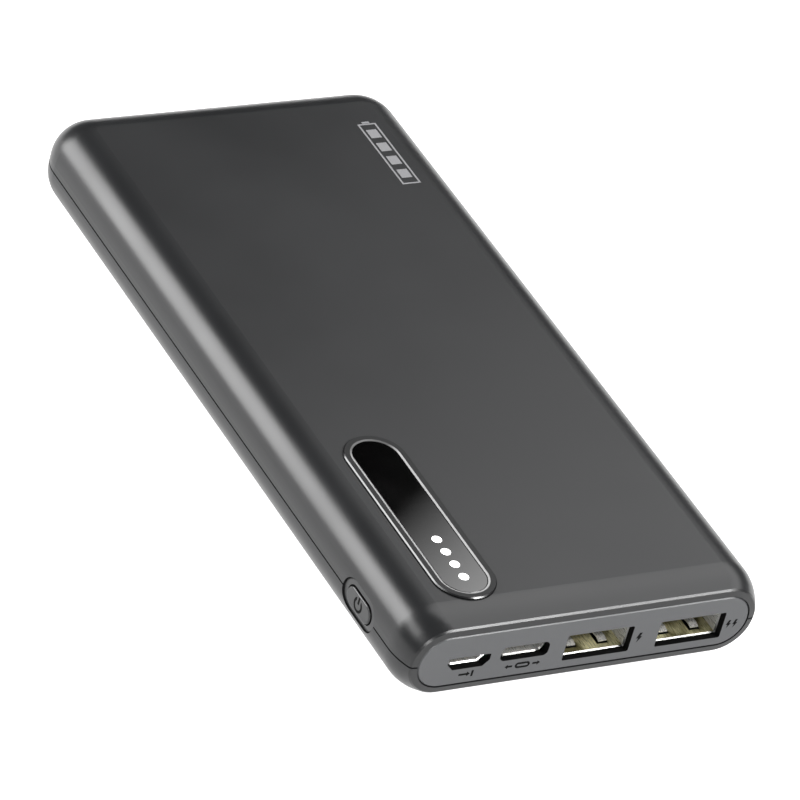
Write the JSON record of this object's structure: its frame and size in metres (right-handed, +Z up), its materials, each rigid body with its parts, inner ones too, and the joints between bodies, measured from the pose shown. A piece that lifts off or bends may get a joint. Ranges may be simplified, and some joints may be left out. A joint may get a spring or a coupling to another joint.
{
  "type": "power bank",
  "caption": "Slim rectangular power bank with soft rounded edges, a glossy charge display, a side power button and charging sockets in one end.",
  "frame": {"origin": "on the ground, under the middle of the body", "axes": "+Z up, +Y from the socket end towards the plain rear end (the long way), +X to the right seen from the socket end"},
  "size_m": [0.07, 0.148, 0.0165],
  "materials": {
    "shell": "satin charcoal moulded plastic with a very fine spark texture",
    "panel": "satin charcoal moulded plastic, a little smoother than the shells",
    "bezel": "polished dark plastic with a bright chamfer",
    "mark_paint": "near-black paint in sunk marks",
    "lens": "deep gloss black window",
    "lamp_window": "lit white translucent windows",
    "light_pipe": "clear moulded acrylic",
    "lamp": "small white surface-mount lamps",
    "black_moulding": "black engineering plastic",
    "button": "satin charcoal moulded plastic",
    "socket_steel": "bright nickel-plated stamped steel",
    "contact_gold": "gold-plated contact strips",
    "tongue": "black glass-filled nylon",
    "circuit_board": "green solder mask over copper tracks",
    "chip": "black epoxy with a matt face",
    "ferrite": "grey sintered ferrite",
    "capacitor": "tan ceramic with tinned ends",
    "screw_steel": "zinc-plated steel",
    "cell_pouch": "silver laminated pouch foil",
    "foam": "black closed-cell foam",
    "adhesive": "pale double-sided adhesive sheet",
    "tab_nickel": "thin nickel strip",
    "lead_red": "red silicone insulation",
    "lead_black": "black silicone insulation"
  },
  "bodies": {
    "case": {"top_shell": "shell", "bottom_shell": "shell", "front_panel": "panel", "display_bezel": "bezel", "display_lens": "lens", "panel_mark_fill": "mark_paint", "charge_windows": "lamp_window", "light_box": "black_moulding", "light_pipes": "light_pipe", "status_leds": "lamp", "button_surround": "button", "button_switch_body": "black_moulding", "micro_usb_shell": "socket_steel", "micro_usb_tongue": "tongue", "micro_usb_contacts": "contact_gold", "usb_c_shell": "socket_steel", "usb_c_tongue": "tongue", "usb_c_contacts": "contact_gold", "usb_a_left_shell": "socket_steel", "usb_a_left_tongue": "tongue", "usb_a_left_contacts": "contact_gold", "usb_a_right_shell": "socket_steel", "usb_a_right_tongue": "tongue", "usb_a_right_contacts": "contact_gold", "main_board": "circuit_board", "board_screws": "screw_steel", "controller_chip": "chip", "output_chip": "chip", "power_inductors": "ferrite", "capacitors": "capacitor", "battery_cell_lower": "cell_pouch", "battery_cell_upper": "cell_pouch", "cell_bond_pad": "adhesive", "foam_pad_lower": "foam", "foam_pad_upper": "foam", "cell_tabs": "tab_nickel", "protection_board": "circuit_board", "battery_lead_positive": "lead_red", "battery_lead_negative": "lead_black"},
    "power_button": {"power_button": "button", "button_mark_fill": "mark_paint"},
    "switch_plunger": {"button_switch_plunger": "black_moulding"}
  },
  "joints": [
    {"name": "button_press", "type": "slide", "parent": "case", "child": "power_button", "axis": [1, 0, 0], "range_m": [0, 0.0003], "stiffness_N_per_m": 2000},
    {"name": "plunger_press", "type": "slide", "parent": "case", "child": "switch_plunger", "axis": [1, 0, 0], "range_m": [0, 0.0003]}
  ],
  "couplings": [
    {"joint": "plunger_press", "follows": "button_press", "ratio": 1}
  ]
}
